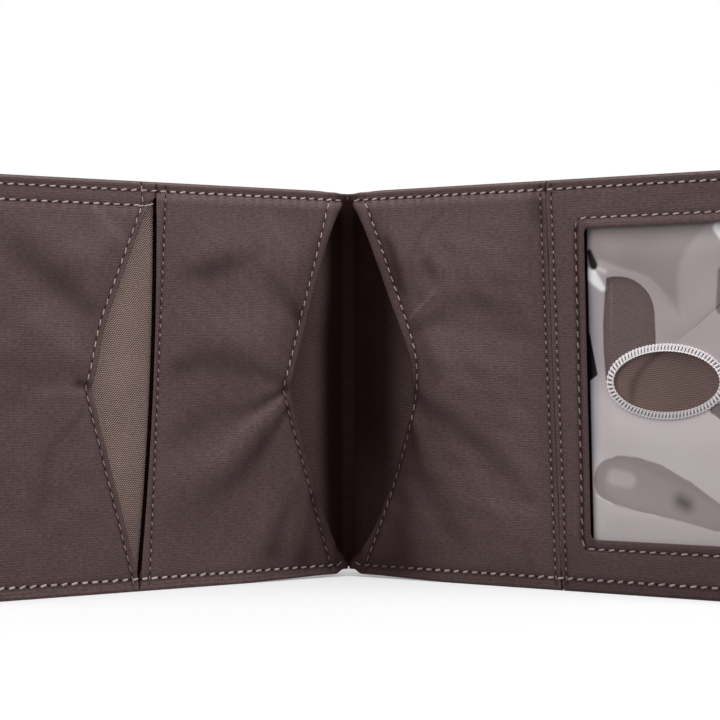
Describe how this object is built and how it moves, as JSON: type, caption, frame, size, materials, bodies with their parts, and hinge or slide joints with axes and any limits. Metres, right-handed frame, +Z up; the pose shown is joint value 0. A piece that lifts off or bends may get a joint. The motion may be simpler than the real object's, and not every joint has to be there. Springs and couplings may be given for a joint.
{
  "type": "bifold wallet",
  "caption": "Thin nylon bifold wallet standing half open, with notched card pockets, a clear card window with a bound thumb hole, and a note compartment open along the top.",
  "frame": {"origin": "middle of the standing footprint on the ground, halfway between the outermost points", "axes": "+X to the right of a reader who faces the open pockets, +Y away from that reader towards the spine, +Z up along the fold lines"},
  "size_m": [0.199, 0.0665, 0.095],
  "materials": {
    "nylon": "satin",
    "twill": "matte",
    "thread": "satin",
    "binding_thread": "satin",
    "clear_vinyl": "gloss"
  },
  "bodies": {
    "spine": {"cover_spine": "nylon", "inner_spine": "nylon"},
    "left_half": {"cover_left": "nylon", "inner_wall_left": "nylon", "left_inner_lining": "twill", "left_inner_pocket": "nylon", "left_outer_lining": "twill", "left_outer_pocket": "nylon", "cover_left_stitches": "thread", "left_border_stitches": "thread", "left_second_stitches": "thread", "left_inner_lip_stitches": "thread", "left_outer_lip_stitches": "thread", "left_seam_stitches": "thread"},
    "right_half": {"cover_right": "nylon", "inner_wall_right": "nylon", "right_inner_lining": "twill", "right_inner_pocket": "nylon", "id_lining": "twill", "id_window": "clear_vinyl", "thumb_hole_binding": "binding_thread", "id_frame": "nylon", "cover_right_stitches": "thread", "right_border_stitches": "thread", "right_inner_lip_stitches": "thread", "right_seam_stitches": "thread", "window_stitches": "thread"}
  },
  "joints": [
    {"name": "left_fold", "type": "hinge", "parent": "spine", "child": "left_half", "pos_m": [-0.0041, 0.03045, 0], "axis": [0, 0, 1], "range_deg": [-32.5, 57.5], "deforming": ["inner_spine"]},
    {"name": "right_fold", "type": "hinge", "parent": "spine", "child": "right_half", "pos_m": [0.0041, 0.03045, 0], "axis": [0, 0, -1], "range_deg": [-32.5, 57.5], "deforming": ["inner_spine"]}
  ],
  "couplings": [
    {"joint": "right_fold", "follows": "left_fold", "ratio": 1}
  ]
}
